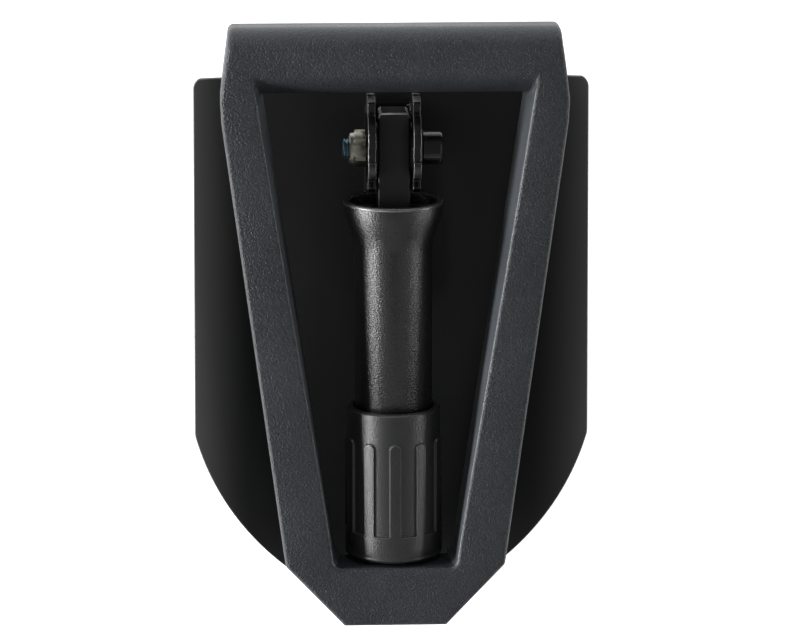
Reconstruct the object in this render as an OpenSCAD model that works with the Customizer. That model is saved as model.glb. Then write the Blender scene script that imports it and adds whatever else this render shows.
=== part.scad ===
// Folding camp shovel, stored folded.
// It lies on the convex back of its blade, which touches the ground at height zero.
// The blade hinge is at the positive Y end, the handle pivot at the negative Y end.
// Every module is drawn around the blade hinge bolt and then moved to its place.

/* [Blade] */
// Half of the blade width at its widest, in mm.
blade_half = 79.2; // [60:0.1:100]
// Half of the blade width at the hinge end.
blade_top_half = 78.3; // [60:0.1:100]
// Distance from the hinge bolt to the hinge end of the blade.
blade_over = 24.8; // [10:0.1:40]
// Distance from the hinge bolt to the blade tip.
blade_reach = 199; // [150:0.5:260]
// Distance from the hinge bolt to where the curved point begins.
blade_straight = 120; // [60:0.5:160]
// Thickness of the blade sheet.
blade_t = 2; // [1:0.1:4]
// Radius of the dish across the blade, inside face.
dish_r = 351; // [200:1:800]
// Radius of the two arcs that make the point.
point_r = 110.2; // [80:0.1:200]
// Radius of the two corners at the hinge end.
corner_r = 4; // [1:0.5:15]

/* [Hinge bracket] */
// Half distance between the inner faces of the two ears.
ear_in = 7.3; // [5:0.1:12]
// Outer face of each ear.
ear_out = 10.4; // [8:0.1:16]
// Radius of the toothed edge.
ear_r = 17.4; // [12:0.1:24]
// Radius of the high end of each ear, which faces the hinge end when folded.
land_r = 21.5; // [18:0.1:22]
// Radius at the floor of a notch.
notch_floor = 13.6; // [8:0.1:16]
// Width of a notch.
notch_w = 5.8; // [5.2:0.1:7]
// Half length of the neck under the ears.
neck_half = 11; // [8:0.1:18]
// Thickness of the bracket base.
base_t = 3; // [1:0.1:5]
// Half width of the rear part of the base.
tang_half = 14.5; // [10:0.1:24]

/* [Hinge bolt] */
// Radius of the bolt shank.
bolt_r = 4; // [2:0.1:6]
// Radius of the bolt head.
head_r = 6.5; // [5:0.1:9]
// Height of the bolt head.
head_h = 8; // [3:0.1:10]
// Washer thickness under the head.
washer_t = 0.8; // [0.4:0.1:2]
// Nut height with its locking ring.
nut_h = 7; // [4:0.1:10]
// Nut size across the flats.
nut_af = 13; // [8:0.5:17]
// Width across the flats of the socket in the bolt head.
socket_af = 6; // [4:0.5:8]
// Length of thread that shows past the nut.
tip_l = 2.4; // [0:0.1:6]
// Outer radius of the bush that turns in the tongue.
bush_r = 6; // [5:0.1:8]

/* [Shaft] */
// Radius of the inner rod.
rod_r = 9; // [6:0.1:12]
// Half width of the tongue between the ears.
tongue_half = 6.4; // [4:0.1:9]
// Half thickness of the tongue.
tongue_z = 8; // [4:0.1:10]
// Distance the tongue reaches past the hinge bolt.
tongue_over = 15.3; // [8:0.1:20]
// Running clearance between turning or sliding parts.
run = 0.05; // [0.02:0.01:0.1]

/* [Sliding sleeve] */
// Radius of the sleeve tube.
tube_r = 15.3; // [14.6:0.1:16]
// Radius of the flared mouth.
mouth_r = 19.9; // [18.5:0.1:21]
// Distance from the hinge bolt to the mouth.
mouth_y = 20.5; // [16:0.1:30]
// Length of the flare.
flare_l = 19; // [16:0.5:26]
// Inside radius of the tube.
tube_in = 12.9; // [9:0.1:18]
// Distance from the hinge bolt to the lower end of the tube.
tube_end = 112.6; // [90:0.1:130]

/* [Grip collar] */
// Distance from the hinge bolt to the top of the collar.
collar_top = 103.5; // [80:0.5:130]
// Distance from the hinge bolt to the bottom of the collar.
collar_end = 164; // [140:0.5:190]
// Radius of the plain surface between the ribs.
collar_r1 = 18.5; // [17.5:0.1:19]
// Radius over the ribs and the lower band.
collar_r2 = 19.4; // [19:0.1:21]
// Number of grip ribs.
ribs = 11; // [6:1:24]
// Width of a grip rib.
rib_w = 4.9; // [2:0.1:8]
// Distance from the hinge bolt to the top of the ribs.
rib_top = 115.6; // [110:0.1:120]
// Distance from the hinge bolt to the bottom of the ribs.
rib_end = 153.3; // [140:0.1:158]

/* [Handle] */
// Height of the handle's front face above the shaft axis.
face_z = 20; // [16:0.5:30]
// Depth of the handle from front to back.
handle_d = 25; // [15:0.5:40]
// Distance from the hinge bolt to the handle's wide end.
grip_over = 50; // [30:0.5:80]
// Distance from the hinge bolt to the handle's narrow end.
handle_end = 189.3; // [160:0.5:220]
// Distance from the narrow end to the handle pivot.
pivot_in = 10; // [8:0.5:20]
// Wall thickness of the handle casting.
wall = 3.4; // [2:0.1:6]
// Radius of the grip bar's outer side towards the front.
bar_front_r = 9; // [2:0.5:10]
// Radius of the grip bar's outer side towards the back.
bar_back_r = 7; // [2:0.5:8]
// Half of the gap between the two pivot lugs.
lug_in = 9.8; // [8:0.1:14]
// Outer face of each pivot lug.
lug_out = 16; // [12:0.1:20]
// Radius of the pivot pin.
pin_r = 4; // [2:0.1:6]

/* [Hidden] */
$fn = 96;
// The whole length runs from the wide end of the handle to the blade tip.
shift_y = (blade_reach - grip_over) / 2;
axis_z = 30;
bed = -axis_z;
dish_out = dish_r + blade_t;
pivot_y = -(handle_end - pivot_in);
// Overlap that makes two solids of one piece fuse.
eps = 0.01;
// Rivets: half of the spacing across, places along the shaft, shank and head.
rivet_x = 8;
rivet_ys = [-36, -56];
rivet_r = 2.5;
rivet_head = 4.4;
rivet_dome = 5.5;
rivet_head_h = 2.2;
// Bracket base: ends of the narrow part under the ears and of the wide part with the rivets.
base_front = 14;
base_mid = -30;
base_back = -66;
// Raised end of each ear, in degrees from the top of the ear.
land_from = 61;
land_to = 119;
// Relief cut at the foot of the raised end.
relief_w = 1.6;
relief_d = 1.2;
// Foot of the ears, where the neck widens towards the base.
foot_z = -21.5;
foot_out = 4;
// Lock insert and its two lugs, which enter the notches of the ears.
lug_w = 5;
lug_in_x = 7.1;
lug_tip = -22.8;
insert_front = -31.6;
insert_back = -38;
insert_r = 14.4;
insert_in = 10.9;
// Stepped counterbore of the mouth, which clears the ears.
counter_r = 16.9;
counter_end = -27;
counter_small = 15.7;
lip_l = 1.2;
// Bush pressed into the sleeve.
bush_front = -62;
bush_back = -46;
// Thread between the sleeve and the collar, drawn as rings.
thread_r = 13.9;
thread_root = 13.1;
thread_from = 98;
thread_end_y = 127;
thread_turns = 4;
pitch = 3;
nut_thread_from = 114;
nut_thread_end = 134;
nut_thread_turns = 6;
// Nut: height of its hexagon and radius of its plastic ring.
hex_h = 5.2;
nylon_r = 6;
// Ring and clip that hold the collar along the rod.
ring_y = 137.3;
ring_t = 3;
ring_r = 14;
clip_t = 1.2;
clip_d = 0.8;
eye_r = 9.5;
eye_bore = 5.5;
// The tongue stands on a round root, and a spigot with a cross pin joins it to the rod.
root_front = 28.5;
root_back = 35;
root_pin = 31.5;
// Clearance of the grooves in the root, in which the two lugs of the lock insert run.
root_gap = 0.3;
spigot_l = 7.5;
spigot_r = 5;
cross_r = 1.5;
cross_h = 16.8;
rod_end = 168;
eye_pin_y = 164;
eye_half = 9;
// Collar: start of the end cap, its skirt and the inside radius of the shell.
cap_y = 143;
cap_skirt = 162;
core_r = 16.4;
// The flat rib tops lie this much under the lower band.
rib_sink = 0.2;
// Handle outline and window: half widths and distances from the hinge bolt.
outer_pts = [[64.3, grip_over], [67.7, 22], [67.2, 13], [43.5, -164.5], [20.2, -handle_end]];
window_wide = [52.2, 23];
window_narrow = [23.3, -164.7];
window_r = 3;
// Slope on the inner side of the grip bar.
slope_z = 6;
slope_y = 34;
// Thickness of the grip bar's outer side beside its pockets, which its curve makes thinner.
bar_wall = 9;
// Pockets in the back of the handle and the ribs that cross them.
pocket_z = face_z - 4.2;
rib_t = 2.2;
arm_rib_from = -128;
arm_rib_step = 24;
arm_ribs = 7;
bar_rib_step = 17;
pocket_far = -150;
pocket_near = 20;
// Slot for the shaft and the pivot lugs on both sides of it.
lug_face = 12;
lug_hollow = 21.4;

// Puts a shape drawn around the hinge bolt in its place above the ground.
module place() { translate([0, shift_y, axis_z]) children(); }
// Turns a shape drawn along Z so that it runs along Y.
module along_y() { rotate([-90, 0, 0]) children(); }
// Turns a shape drawn along Z so that it runs along X.
module along_x() { rotate([0, 90, 0]) children(); }
// A plain rod along X between two positions.
module rod_x(x0, x1, r) {
    translate([x0, 0, 0]) along_x() cylinder(h = x1 - x0, r = r);
}
// A ring along X between two positions.
module ring_x(x0, x1, r_out, r_in) {
    difference() {
        rod_x(x0, x1, r_out);
        rod_x(x0 - 1, x1 + 1, r_in);
    }
}
// A ring along Y between two positions.
module ring_y_at(y0, y1, r_out, r_in) {
    difference() {
        translate([0, y0, 0]) along_y() cylinder(h = y1 - y0, r = r_out);
        translate([0, y0 - 1, 0]) along_y() cylinder(h = y1 - y0 + 2, r = r_in);
    }
}
// A flat shape drawn in Y and Z, made solid from x0 to x1.
module slab_x(x0, x1) {
    translate([x0, 0, 0]) rotate([90, 0, 90]) linear_extrude(height = x1 - x0) children();
}
// The space inside the dished blade surface of a given radius.
module dish_space(r) {
    translate([0, -blade_reach - 5, bed + dish_out]) along_y()
        cylinder(h = blade_reach + blade_over + 10, r = r, $fn = 360);
}

/* Blade */
// Height of the centres of the two point arcs, found so that the tip lands on its place.
point_cy = 92.3;
run_on = 9;
point_x = sqrt(pow(point_r, 2) - pow(blade_straight - point_cy, 2)) - blade_half;
// The two sides run straight on past the shoulders, where the arcs cut them.
blade_low = blade_half + (blade_half - blade_top_half) * (blade_reach + run_on - blade_straight)
    / (blade_straight + blade_over);
corner_pts = [for (a = [0:15:90])
    [blade_top_half - corner_r + corner_r * cos(a), blade_over - corner_r + corner_r * sin(a)]];
module blade_outline() {
    difference() {
        mirrored_polygon(concat([[blade_low, -blade_reach - run_on]], corner_pts));
        difference() {
            translate([-blade_half * 2, -blade_reach * 2])
                square([blade_half * 4, blade_reach * 2 - blade_straight + run_on - 1]);
            intersection() {
                translate([-point_x, -point_cy]) circle(r = point_r, $fn = 360);
                translate([point_x, -point_cy]) circle(r = point_r, $fn = 360);
            }
        }
    }
}

module blade_plate() {
    color([0.08, 0.085, 0.09]) place() difference() {
        intersection() {
            dish_space(dish_out);
            translate([0, 0, bed - 1]) linear_extrude(height = 20) blade_outline();
        }
        dish_space(dish_r);
        for (p = rivet_spots) translate([p[0], p[1], bed - 1])
            cylinder(h = blade_t + base_t, r = rivet_r);
    }
}

// Places of the four rivets, seen from above.
rivet_spots = [for (y = rivet_ys, x = [-rivet_x, rivet_x]) [x, y]];

module rivet(i) {
    p = rivet_spots[i];
    top = bed + blade_t + base_t;
    color([0.16, 0.165, 0.17]) place() {
        intersection() {
            translate([p[0], p[1], bed - 1]) cylinder(h = base_t + blade_t + 2, r = rivet_r);
            dish_space(dish_out);
        }
        intersection() {
            translate([p[0], p[1], top]) cylinder(h = rivet_head_h, r = rivet_head);
            translate([p[0], p[1], top + rivet_head_h - 0.1 - rivet_dome]) sphere(r = rivet_dome);
        }
    }
}
module rivet_a() { rivet(0); }
module rivet_b() { rivet(1); }
module rivet_c() { rivet(2); }
module rivet_d() { rivet(3); }

/* Hinge bracket: base plate and two toothed ears in one pressing */
// Sector of the ear between two directions, counted from up towards the hinge end.
module land(a0, a1) {
    far = land_r * 1.5;
    intersection() {
        circle(r = land_r);
        polygon(concat([[0, 0]], [for (a = [a0, (a0 + a1) / 2, a1]) [far * sin(a), far * cos(a)]]));
    }
}
module ear_profile() {
    difference() {
        union() {
            circle(r = ear_r);
            land(land_from, land_to);
            mirrored_polygon([[neck_half, 0], [neck_half, foot_z],
                              [neck_half + foot_out, bed + blade_t]]);
        }
        for (a = [-90, -45, 0, 90]) rotate(-a)
            translate([-notch_w / 2, notch_floor]) square([notch_w, land_r]);
        rotate(2 - land_from) translate([-relief_w / 2, ear_r - relief_d]) square([relief_w, 4]);
        circle(r = bolt_r);
    }
}
module hinge_bracket() {
    color([0.05, 0.05, 0.055]) place() difference() {
        intersection() {
            union() {
                for (s = [0, 1]) mirror([s, 0, 0]) slab_x(ear_in, ear_out) ear_profile();
                translate([-ear_out, base_mid, bed])
                    cube([ear_out * 2, base_front - base_mid, blade_t + base_t]);
                translate([-tang_half, base_back, bed])
                    cube([tang_half * 2, base_mid + 3 - base_back, blade_t + base_t]);
            }
            dish_space(dish_r);
        }
        for (p = rivet_spots) translate([p[0], p[1], bed])
            cylinder(h = blade_t + base_t + 1, r = rivet_r);
    }
}

/* Hinge bolt and nut */
module hinge_bolt() {
    x0 = -(ear_out + nut_h + tip_l);
    x1 = ear_out + washer_t;
    color([0.06, 0.06, 0.065]) place() {
        rod_x(x0 + 0.8, x1, bolt_r);
        translate([x0, 0, 0]) along_x() cylinder(h = 0.8, r1 = bolt_r - 0.8, r2 = bolt_r);
        difference() {
            rod_x(x1, x1 + head_h, head_r);
            translate([x1 + head_h / 2, 0, 0]) along_x()
                cylinder(h = head_h, r = socket_af / sqrt(3), $fn = 6);
        }
    }
}
module bolt_washer() {
    color([0.07, 0.07, 0.075]) place() ring_x(ear_out, ear_out + washer_t, 8, bolt_r);
}
module hinge_nut() {
    color([0.5, 0.5, 0.46]) place() difference() {
        union() {
            translate([-ear_out - hex_h, 0, 0]) along_x()
                cylinder(h = hex_h, r = nut_af / sqrt(3), $fn = 6);
            rod_x(-ear_out - nut_h, -ear_out - hex_h, nylon_r + 0.3);
        }
        rod_x(-ear_out - hex_h, -ear_out + 1, bolt_r);
        rod_x(-ear_out - nut_h - 1, -ear_out - hex_h, nylon_r - 0.6);
    }
}
module nut_ring() {
    color([0.75, 0.75, 0.72]) place()
        ring_x(-ear_out - nut_h + 0.3, -ear_out - hex_h, nylon_r - 0.6, bolt_r);
}
module hinge_bush() {
    color([0.6, 0.5, 0.3]) place() ring_x(-ear_in, ear_in, bush_r, bolt_r);
}

/* Shaft */
module tongue_block() {
    color([0.1, 0.1, 0.105]) place() difference() {
        union() {
            translate([-tongue_half, -root_front - 1, -tongue_z])
                cube([tongue_half * 2, root_front + 1 + tongue_over, tongue_z * 2]);
            translate([0, -root_back, 0]) along_y()
                cylinder(h = root_back - root_front, r = rod_r);
        }
        rod_x(-ear_in, ear_in, bush_r + run);
        translate([0, -root_back - 1, 0]) along_y() cylinder(h = spigot_l + 1, r = spigot_r);
        cross_hole(-root_pin);
        for (s = [0, 1]) mirror([s, 0, 0])
            translate([lug_in_x - root_gap, insert_front - root_gap, -lug_w / 2 - root_gap])
                cube([rod_r, -insert_front - root_front + 1, lug_w + root_gap * 2]);
    }
}
// A hole across the rod for a cross pin, and the pin itself.
module cross_hole(y) {
    translate([0, y, -cross_h]) cylinder(h = cross_h * 2, r = cross_r);
}
module cross_pin(y) {
    translate([0, y, -cross_h / 2]) cylinder(h = cross_h, r = cross_r);
}
module tongue_pin() { color([0.4, 0.4, 0.42]) place() cross_pin(-root_pin); }
module shim(s) {
    x0 = s < 0 ? -ear_in + run : tongue_half;
    x1 = s < 0 ? -tongue_half : ear_in - run;
    color([0.55, 0.5, 0.35]) place() ring_x(x0, x1, 10, bush_r + 0.35);
}
module shim_left() { shim(-1); }
module shim_right() { shim(1); }
module shaft_rod() {
    color([0.45, 0.46, 0.47]) place() difference() {
        union() {
            translate([0, -rod_end, 0]) along_y() cylinder(h = rod_end - root_back, r = rod_r);
            translate([0, -root_back - eps, 0]) along_y() cylinder(h = spigot_l, r = spigot_r);
        }
        cross_hole(-root_pin);
        ring_y_at(-ring_y - ring_t - clip_t, -ring_y - ring_t, rod_r + 1, rod_r - clip_d);
        translate([0, -rod_end - 1, 0]) along_y() cylinder(h = spigot_l + 1, r = spigot_r);
        cross_hole(-eye_pin_y);
    }
}
module thrust_ring() {
    color([0.5, 0.5, 0.52]) place()
        ring_y_at(-ring_y - ring_t, -ring_y, ring_r, rod_r);
}
module thrust_clip() {
    color([0.3, 0.3, 0.32]) place()
        ring_y_at(-ring_y - ring_t - clip_t, -ring_y - ring_t, rod_r + 2, rod_r - clip_d);
}
module handle_eye() {
    color([0.4, 0.41, 0.42]) place() difference() {
        union() {
            translate([0, pivot_y, 0]) rod_x(-eye_half, eye_half, eye_r);
            intersection() {
                translate([-eye_half, pivot_y, -eye_r])
                    cube([eye_half * 2, -rod_end - pivot_y, eye_r * 2]);
                translate([0, pivot_y, 0]) along_y() cylinder(h = -rod_end - pivot_y, r = rod_r);
            }
            translate([0, -rod_end - eps, 0]) along_y() cylinder(h = spigot_l, r = spigot_r);
        }
        translate([0, pivot_y, 0]) rod_x(-eye_half - 1, eye_half + 1, eye_bore);
        cross_hole(-eye_pin_y);
    }
}
module eye_pin() { color([0.4, 0.4, 0.42]) place() cross_pin(-eye_pin_y); }

/* Sliding sleeve */
// Radius of the outside of the flare at a fraction of its length, one at the mouth.
function flare_r(t) = tube_r + (mouth_r - tube_r) * t * t * (3 - 2 * t);
flare_steps = 10;
module sleeve_tube() {
    mouth = -mouth_y - lip_l;
    outer = [for (i = [0:flare_steps])
        [flare_r(1 - i / flare_steps), mouth - i / flare_steps * flare_l]];
    color([0.07, 0.07, 0.075]) place() along_y() rotate_extrude() polygon(concat(
        outer,
        [[tube_r, -tube_end], [tube_in, -tube_end], [tube_in, insert_back],
         [insert_r, insert_back], [insert_r, insert_front + 0.5],
         [counter_small, insert_front + 0.5], [counter_small, counter_end],
         [counter_r, counter_end], [counter_r, mouth]]));
}
module mouth_ring() {
    color([0.07, 0.07, 0.075]) place() along_y() rotate_extrude() polygon([
        [counter_r, -mouth_y - lip_l], [mouth_r, -mouth_y - lip_l],
        [mouth_r, -mouth_y - 0.3], [mouth_r - 0.3, -mouth_y],
        [counter_r + 0.3, -mouth_y], [counter_r, -mouth_y - 0.3]]);
}
module lock_insert() {
    color([0.25, 0.25, 0.27]) place() {
        ring_y_at(insert_back, insert_front, insert_r, insert_in);
        for (s = [0, 1]) mirror([s, 0, 0])
            intersection() {
                translate([lug_in_x, insert_front - eps, -lug_w / 2])
                    cube([insert_r, lug_tip - insert_front, lug_w]);
                translate([0, insert_back, 0]) along_y() cylinder(h = 20, r = insert_r);
            }
    }
}
module sleeve_bush() {
    color([0.6, 0.5, 0.3]) place() ring_y_at(bush_front, bush_back, tube_in, rod_r + run);
}
module thread_end() {
    // Crests as wide as a third of the pitch, with sloped flanks.
    teeth = [for (i = [0:thread_turns - 1]) each [
        [thread_r, -tube_end - pitch * (i + 0.4)], [thread_r, -tube_end - pitch * (i + 0.73)],
        [thread_root, -tube_end - pitch * (i + 0.93)],
        [thread_root, -tube_end - pitch * (i + 1.2)]]];
    color([0.5, 0.5, 0.52]) place() along_y() rotate_extrude() polygon(concat(
        [[rod_r + run, -thread_from], [tube_in, -thread_from], [tube_in, -tube_end],
         [thread_root, -tube_end]],
        teeth,
        [[thread_root, -thread_end_y], [rod_r + run, -thread_end_y]]));
}

/* Grip collar */
module collar_shell() {
    bore = tube_r + 0.35;
    crown = rib_top + rib_w / 2;
    rib_h = collar_r2 - rib_sink - core_r - 0.8;
    color([0.13, 0.135, 0.14]) place() {
        along_y() rotate_extrude() polygon([
            [bore, -collar_top], [collar_r1 - 0.8, -collar_top], [collar_r1, -collar_top - 0.8],
            [collar_r1, -rib_end], [collar_r2, -rib_end], [collar_r2, -cap_skirt],
            [core_r, -cap_skirt], [core_r, -nut_thread_from], [bore, -nut_thread_from]]);
        // Flat-topped ribs with a round upper end, rooted inside the wall.
        for (i = [0:ribs - 1]) rotate([0, i * 360 / ribs, 0]) translate([0, 0, core_r + 0.8]) {
            translate([-rib_w / 2, -rib_end - 1, 0]) cube([rib_w, rib_end + 1 - crown, rib_h]);
            translate([0, -crown, 0]) cylinder(h = rib_h, r = rib_w / 2);
        }
    }
}
module collar_insert() {
    inner = thread_r + 0.3;
    deep = inner + 0.6;
    grooves = [for (i = [0:nut_thread_turns - 1]) each [
        [inner, -nut_thread_from - pitch * (i + 0.2)], [inner, -nut_thread_from - pitch * (i + 0.53)],
        [deep, -nut_thread_from - pitch * (i + 0.73)], [deep, -nut_thread_from - pitch * (i + 1)]]];
    color([0.5, 0.5, 0.52]) place() along_y() rotate_extrude() polygon(concat(
        [[core_r, -nut_thread_end], [core_r, -nut_thread_from], [inner, -nut_thread_from]],
        grooves, [[inner, -nut_thread_end]]));
}
module collar_cap() {
    color([0.12, 0.125, 0.13]) place() along_y() rotate_extrude() polygon([
        [rod_r + run, -cap_y], [core_r, -cap_y], [core_r, -cap_skirt],
        [collar_r2, -cap_skirt], [collar_r2, -collar_end + 0.6], [collar_r2 - 0.6, -collar_end],
        [rod_r + 1, -collar_end], [rod_r + run, -collar_end + 1]]);
}
module collar_seal() {
    color([0.3, 0.3, 0.3]) place() ring_y_at(-cap_y, -cap_y + 1.6, core_r, 12);
}

/* Handle */
module mirrored_polygon(p) {
    n = len(p);
    polygon(concat(p, [for (i = [n - 1:-1:0]) [-p[i][0], p[i][1]]]));
}
// Lean of the window's sides away from the shaft, in degrees.
lean = atan((window_wide[0] - window_narrow[0]) / (window_wide[1] - window_narrow[1]));
function window_side(y) = window_narrow[0] + (y - window_narrow[1]) * tan(lean);
// Centre of a window corner's rounding, which touches the slanted side.
function corner_x(y) = window_side(y) - window_r / cos(lean);
module handle_window() {
    y1 = window_wide[1] - window_r;
    y2 = window_narrow[1] + window_r;
    touch = [window_r * cos(lean), -window_r * sin(lean)];
    mirrored_polygon([[corner_x(y1), window_wide[1]], [corner_x(y1), y1] + touch,
                      [corner_x(y2), y2] + touch, [corner_x(y2), window_narrow[1]]]);
    for (s = [-1, 1], y = [y1, y2]) translate([s * corner_x(y), y]) circle(r = window_r);
}
// Half width of the handle's outline along its arms.
function outer_side(y) = outer_pts[3][0] + (outer_pts[2][0] - outer_pts[3][0])
    * (y - outer_pts[3][1]) / (outer_pts[2][1] - outer_pts[3][1]);
// Pockets cut from the back leave a channel section with cross ribs.
module arm_pocket() {
    polygon([[outer_side(pocket_near) - wall, pocket_near], [outer_side(pocket_far) - wall, pocket_far],
             [window_side(pocket_far) + wall, pocket_far],
             [window_side(pocket_near) + wall, pocket_near]]);
}
module handle_pockets() {
    difference() {
        for (s = [0, 1]) mirror([s, 0]) arm_pocket();
        for (i = [0:arm_ribs - 1]) translate([-blade_half, arm_rib_from + i * arm_rib_step])
            square([blade_half * 2, rib_t]);
    }
    // The grip bar's pockets stay clear of the slope on its inner side.
    difference() {
        mirrored_polygon([[outer_pts[0][0] - wall, slope_y - 1],
                          [outer_pts[0][0] - wall, grip_over - bar_wall]]);
        for (i = [-3:3]) translate([i * bar_rib_step - rib_t / 2, 0]) square([rib_t, grip_over]);
    }
}
// Wedge that slopes the inner side of the grip bar towards the front face.
module grip_slope() {
    slab_x(-window_wide[0], window_wide[0])
        polygon([[window_wide[1] - 1, slope_z], [window_wide[1], slope_z], [slope_y, face_z + eps],
                 [window_wide[1] - 1, face_z + eps]]);
}
// What is cut away to leave one edge of the grip bar's outer side round.
module bar_edge(z, dir, r) {
    slab_x(-blade_half, blade_half) difference() {
        translate([grip_over - r, dir > 0 ? z - r : z - eps]) square([r + eps, r + eps]);
        translate([grip_over - r, z - dir * r]) circle(r = r);
    }
}
module handle_frame() {
    back = face_z - handle_d;
    color([0.2, 0.22, 0.24]) place() difference() {
        translate([0, 0, back]) linear_extrude(height = handle_d) difference() {
            mirrored_polygon(outer_pts);
            handle_window();
        }
        grip_slope();
        bar_edge(face_z, 1, bar_front_r);
        bar_edge(back, -1, bar_back_r);
        translate([0, 0, back - 1]) linear_extrude(height = pocket_z - back + 1)
            handle_pockets();
        // Slot for the shaft, a hollow behind the window's end and one beside each lug.
        translate([-lug_in, -handle_end - 1, back - 1])
            cube([lug_in * 2, pivot_in + 20, lug_face - back + 1]);
        translate([-lug_hollow, pivot_y + 11, back - 1]) cube([lug_hollow * 2, 8, 1 - back + 1]);
        for (s = [0, 1]) mirror([s, 0, 0])
            translate([lug_out, pivot_y - 6, back - 1])
                cube([lug_hollow - lug_out, pivot_in + 4, lug_face - back]);
        translate([0, pivot_y, 0]) rod_x(-lug_out - 1, lug_out + 1, pin_r);
    }
}
module pivot_pin() {
    color([0.35, 0.36, 0.37]) place() translate([0, pivot_y, 0]) {
        rod_x(-lug_out - 2.6, lug_out, pin_r);
        rod_x(lug_out, lug_out + 3, pin_r + 1.6);
    }
}
module pivot_clip() {
    color([0.3, 0.3, 0.32]) place() translate([0, pivot_y, 0])
        ring_x(-lug_out - 1.4, -lug_out, pin_r + 1.5, pin_r);
}
module pivot_disc(s) {
    x0 = s < 0 ? -lug_in : eye_half + run;
    x1 = s < 0 ? -eye_half - run : lug_in;
    color([0.55, 0.5, 0.35]) place() translate([0, pivot_y, 0]) ring_x(x0, x1, 9, pin_r);
}
module pivot_disc_left() { pivot_disc(-1); }
module pivot_disc_right() { pivot_disc(1); }
module pivot_bush() {
    color([0.6, 0.5, 0.3]) place() translate([0, pivot_y, 0])
        ring_x(-eye_half - run, eye_half + run, eye_bore - run, pin_r);
}

blade_plate();
hinge_bracket();
rivet_a();
rivet_b();
rivet_c();
rivet_d();
hinge_bolt();
bolt_washer();
hinge_nut();
nut_ring();
hinge_bush();
tongue_block();
tongue_pin();
shim_left();
shim_right();
shaft_rod();
thrust_ring();
thrust_clip();
handle_eye();
eye_pin();
sleeve_tube();
mouth_ring();
lock_insert();
sleeve_bush();
thread_end();
collar_shell();
collar_insert();
collar_cap();
collar_seal();
handle_frame();
pivot_pin();
pivot_clip();
pivot_disc_left();
pivot_disc_right();
pivot_bush();
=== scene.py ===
import bpy
import bmesh
import math
from mathutils import Matrix, Vector


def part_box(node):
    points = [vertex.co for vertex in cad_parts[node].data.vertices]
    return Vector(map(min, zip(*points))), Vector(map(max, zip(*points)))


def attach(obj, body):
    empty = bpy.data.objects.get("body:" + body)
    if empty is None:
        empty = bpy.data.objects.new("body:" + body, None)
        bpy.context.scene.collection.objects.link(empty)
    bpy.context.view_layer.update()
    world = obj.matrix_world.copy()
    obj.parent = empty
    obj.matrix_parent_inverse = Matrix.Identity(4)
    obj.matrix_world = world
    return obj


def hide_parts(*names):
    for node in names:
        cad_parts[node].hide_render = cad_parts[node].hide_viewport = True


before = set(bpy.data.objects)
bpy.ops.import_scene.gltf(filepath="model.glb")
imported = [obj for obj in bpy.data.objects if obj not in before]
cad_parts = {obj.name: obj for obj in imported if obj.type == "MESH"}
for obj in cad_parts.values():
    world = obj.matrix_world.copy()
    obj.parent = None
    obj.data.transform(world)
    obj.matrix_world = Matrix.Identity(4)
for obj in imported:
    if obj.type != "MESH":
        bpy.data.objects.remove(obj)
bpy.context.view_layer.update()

# ---------------------------------------------------------------- places and sizes
# Lengths in this script are millimetres counted from the hinge bolt; mm() turns them into metres.


def middle(node):
    lo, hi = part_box(node)
    return (lo + hi) / 2


HINGE = middle("hinge_bush")
PIVOT = middle("pivot_bush")


def mm(x, y, z):
    return Vector((x / 1000, HINGE.y + y / 1000, HINGE.z + z / 1000))


def span(node):
    """Lowest and highest corner of a CAD node, in millimetres from the hinge bolt."""
    lo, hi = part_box(node)
    low = [(lo[i] - (0, HINGE.y, HINGE.z)[i]) * 1000 for i in range(3)]
    high = [(hi[i] - (0, HINGE.y, HINGE.z)[i]) * 1000 for i in range(3)]
    return low, high


PIVOT_Y = (PIVOT.y - HINGE.y) * 1000
FRAME_LO, FRAME_HI = span("handle_frame")
BLADE_LO, BLADE_HI = span("blade_plate")
BRACKET_LO = span("hinge_bracket")[0]
TUBE_LO = span("sleeve_tube")[0]
LIP_LO, LIP_HI = span("mouth_ring")
COLLAR_LO, COLLAR_HI = span("collar_shell")
CAP_LO, CAP_HI = span("collar_cap")
BOLT_LO, BOLT_HI = span("hinge_bolt")
NUT_LO, NUT_HI = span("hinge_nut")
WASHER_LO, WASHER_HI = span("bolt_washer")
TONGUE_HI = span("tongue_block")[1]
INSERT_LO = span("lock_insert")[0]

# ---------------------------------------------------------------- mesh helpers


def shade(bm, sharp_deg=38):
    """Smooth faces, and sharp edges where the surface bends by more than sharp_deg."""
    for f in bm.faces:
        f.smooth = True
    for e in bm.edges:
        if len(e.link_faces) == 2:
            e.smooth = e.calc_face_angle(0) < math.radians(sharp_deg)


def finish_mesh(name, bm, material, sharp_deg=38):
    """Turns a bmesh into a shaded object of the scene."""
    bmesh.ops.remove_doubles(bm, verts=bm.verts, dist=1e-7)
    bmesh.ops.recalc_face_normals(bm, faces=bm.faces)
    shade(bm, sharp_deg)
    mesh = bpy.data.meshes.new(name)
    bm.to_mesh(mesh)
    bm.free()
    obj = bpy.data.objects.new(name, mesh)
    bpy.context.scene.collection.objects.link(obj)
    mesh.materials.append(material)
    return obj


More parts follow.
